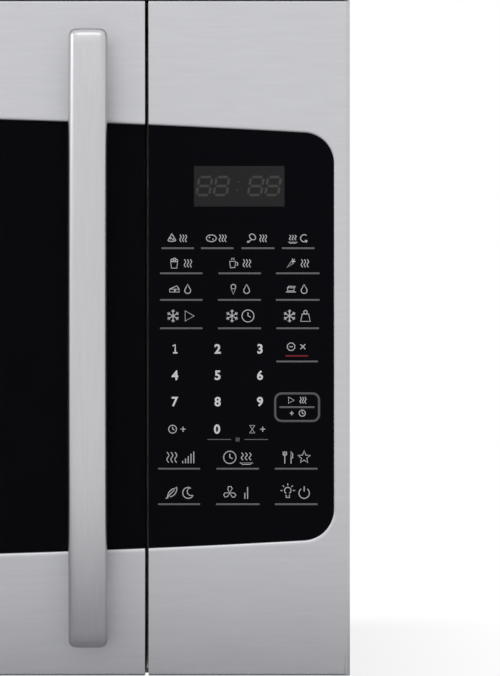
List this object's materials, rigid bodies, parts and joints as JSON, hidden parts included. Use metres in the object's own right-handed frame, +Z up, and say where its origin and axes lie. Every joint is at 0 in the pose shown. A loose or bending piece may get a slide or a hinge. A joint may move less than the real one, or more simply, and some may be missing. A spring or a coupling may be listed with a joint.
{
  "type": "over-the-range microwave oven",
  "caption": "Over-the-range microwave oven with a left-hinged door, turntable, right-hand touch panel, vent blower, top grille and mounting plate.",
  "frame": {"origin": "centre of the bounding box's footprint, at the level of the flat underside", "axes": "+X the viewer's right when facing the door, +Y towards the wall, +Z up"},
  "size_m": [0.759, 0.4365, 0.446],
  "materials": {
    "stainless_face": "brushed",
    "handle_metal": "brushed",
    "grille_plastic": "satin",
    "keypad_film": "satin",
    "display_lens": "smoked",
    "door_glass": "polished",
    "black_plastic": "moulded",
    "case_paint": "satin",
    "galvanised_steel": "galvanised",
    "door_enamel": "enamel",
    "cavity_enamel": "enamel",
    "mica": "mica sheet",
    "hinge_steel": "zinc plated",
    "bearing_plastic": "moulded",
    "latch_board_plastic": "moulded",
    "switch_plastic": "moulded",
    "tray_glass": "polished",
    "motor_steel": "plated",
    "magnetron_metal": "plain",
    "transformer_iron": "varnished",
    "capacitor_can": "plain",
    "diode_plastic": "moulded",
    "fan_plastic": "moulded",
    "board_laminate": "lacquered",
    "lamp_parts": "glazed",
    "lamp_cover_glass": "frosted",
    "filter_aluminium": "mesh",
    "charcoal": "granular",
    "gland_plastic": "moulded"
  },
  "bodies": {
    "oven": {"outer_case": "case_paint", "base_pan": "case_paint", "back_panel": "galvanised_steel", "wall_plate": "galvanised_steel", "cord_gland": "gland_plastic", "exhaust_adapter": "galvanised_steel", "vent_grille": "grille_plastic", "charcoal_filter": "charcoal", "blower_housing": "galvanised_steel", "blower_motor": "motor_steel", "cooktop_lamps": "lamp_parts", "oven_cavity": "cavity_enamel", "hinge_upper": "hinge_steel", "hinge_lower": "hinge_steel", "waveguide": "galvanised_steel", "waveguide_cover": "mica", "magnetron": "magnetron_metal", "component_shelf": "galvanised_steel", "hv_transformer": "transformer_iron", "hv_capacitor": "capacitor_can", "hv_diode": "diode_plastic", "cooling_fan_shroud": "fan_plastic", "cooling_fan_motor": "motor_steel", "noise_filter_board": "board_laminate", "cavity_lamp": "lamp_parts", "latch_board": "latch_board_plastic", "interlock_switches": "switch_plastic", "turntable_motor": "motor_steel", "control_skin": "stainless_face", "keypad_overlay": "keypad_film", "display_window": "display_lens", "control_chassis": "black_plastic", "control_board": "board_laminate", "display_module": "black_plastic"},
    "door": {"door_skin": "stainless_face", "door_glass": "door_glass", "door_surround": "black_plastic", "door_frame": "door_enamel", "door_screen": "door_enamel", "choke_cover": "black_plastic", "door_handle": "handle_metal", "hinge_bushes": "bearing_plastic"},
    "latch": {"latch_key": "bearing_plastic", "latch_spring": "hinge_steel"},
    "plungers": {"switch_plungers": "bearing_plastic"},
    "turntable": {"tray_coupler": "bearing_plastic", "glass_tray": "tray_glass"},
    "roller_ring": {"roller_ring": "bearing_plastic"},
    "roller_1": {"roller_1": "bearing_plastic"},
    "roller_2": {"roller_2": "bearing_plastic"},
    "roller_3": {"roller_3": "bearing_plastic"},
    "blower": {"blower_rotor": "fan_plastic"},
    "cooling_fan": {"cooling_fan_blade": "fan_plastic"},
    "damper": {"damper_flap": "galvanised_steel"},
    "filter_left": {"grease_filter_left": "filter_aluminium"},
    "filter_right": {"grease_filter_right": "filter_aluminium"},
    "cover_left": {"lamp_cover_left": "lamp_cover_glass"},
    "cover_right": {"lamp_cover_right": "lamp_cover_glass"}
  },
  "joints": [
    {"name": "door_hinge", "type": "hinge", "parent": "oven", "child": "door", "pos_m": [-0.37, -0.14825, 0.187], "axis": [0, 0, -1], "range_deg": [0, 110]},
    {"name": "latch_slide", "type": "slide", "parent": "door", "child": "latch", "axis": [0, 0, 1], "range_m": [0, 0.005], "stiffness_N_per_m": 300, "springref_m": -0.01, "deforming": ["latch_spring"]},
    {"name": "plunger_slide", "type": "slide", "parent": "oven", "child": "plungers", "axis": [0, -1, 0], "range_m": [0, 0.001]},
    {"name": "turntable_spin", "type": "hinge", "parent": "oven", "child": "turntable", "pos_m": [-0.066, 0.03625, 0.0622], "axis": [0, 0, 1], "continuous": true},
    {"name": "ring_spin", "type": "hinge", "parent": "oven", "child": "roller_ring", "pos_m": [-0.066, 0.03625, 0.0536], "axis": [0, 0, 1], "continuous": true},
    {"name": "roller_1_spin", "type": "hinge", "parent": "roller_ring", "child": "roller_1", "pos_m": [-0.066, 0.12825, 0.0536], "axis": [0, 1, 0], "continuous": true},
    {"name": "roller_2_spin", "type": "hinge", "parent": "roller_ring", "child": "roller_2", "pos_m": [-0.14567, -0.00975, 0.0536], "axis": [-0.866, -0.5, 0], "continuous": true},
    {"name": "roller_3_spin", "type": "hinge", "parent": "roller_ring", "child": "roller_3", "pos_m": [0.01367, -0.00975, 0.0536], "axis": [0.866, -0.5, 0], "continuous": true},
    {"name": "blower_spin", "type": "hinge", "parent": "oven", "child": "blower", "pos_m": [0, 0.13025, 0.348], "axis": [1, 0, 0], "continuous": true},
    {"name": "cooling_fan_spin", "type": "hinge", "parent": "oven", "child": "cooling_fan", "pos_m": [0.3091, 0.159, 0.207], "axis": [0, 1, 0], "continuous": true},
    {"name": "damper_hinge", "type": "hinge", "parent": "oven", "child": "damper", "pos_m": [0, 0.10525, 0.429], "axis": [1, 0, 0], "range_deg": [0, 75]},
    {"name": "filter_left_slide", "type": "slide", "parent": "oven", "child": "filter_left", "axis": [0, 0, -1], "range_m": [0, 0.02]},
    {"name": "filter_right_slide", "type": "slide", "parent": "oven", "child": "filter_right", "axis": [0, 0, -1], "range_m": [0, 0.02]},
    {"name": "cover_left_hinge", "type": "hinge", "parent": "oven", "child": "cover_left", "pos_m": [-0.175, -0.04233, 0.0028], "axis": [1, 0, 0], "range_deg": [0, 80]},
    {"name": "cover_right_hinge", "type": "hinge", "parent": "oven", "child": "cover_right", "pos_m": [0.175, -0.04233, 0.0028], "axis": [1, 0, 0], "range_deg": [0, 80]}
  ],
  "couplings": [
    {"joint": "plunger_slide", "follows": "door_hinge", "m_per_rad": 0.00052},
    {"joint": "ring_spin", "follows": "turntable_spin", "ratio": 0.5},
    {"joint": "roller_1_spin", "follows": "turntable_spin", "ratio": -5.4118},
    {"joint": "roller_2_spin", "follows": "turntable_spin", "ratio": -5.4118},
    {"joint": "roller_3_spin", "follows": "turntable_spin", "ratio": -5.4118}
  ]
}
